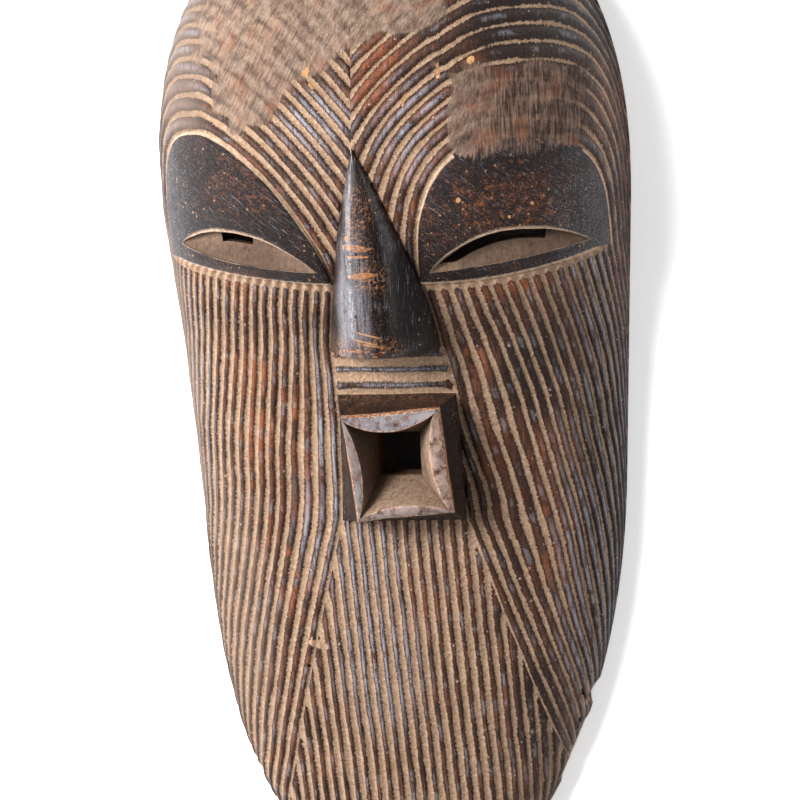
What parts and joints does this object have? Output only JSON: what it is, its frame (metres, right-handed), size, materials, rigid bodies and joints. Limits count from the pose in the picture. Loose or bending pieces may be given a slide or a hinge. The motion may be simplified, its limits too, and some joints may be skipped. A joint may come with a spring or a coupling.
{
  "type": "carved wooden face mask",
  "caption": "Long hollow carved wooden face mask, ridged all over, with smooth eye fields, a wedge nose and a square funnel mouth.",
  "frame": {"origin": "middle of the underside: the flat rim lies on z = 0, the middle of the length and of the width at x = y = 0", "axes": "+Y from the chin to the crown, +X to the viewer's right, +Z out of the face"},
  "size_m": [0.2506, 0.56, 0.118],
  "materials": {
    "carved_wood": "dark rubbed wood with pale clay rubbed into the cut lines, worn to bare tan wood in patches"
  },
  "bodies": {
    "root": {"mask": "carved_wood"}
  },
  "joints": []
}
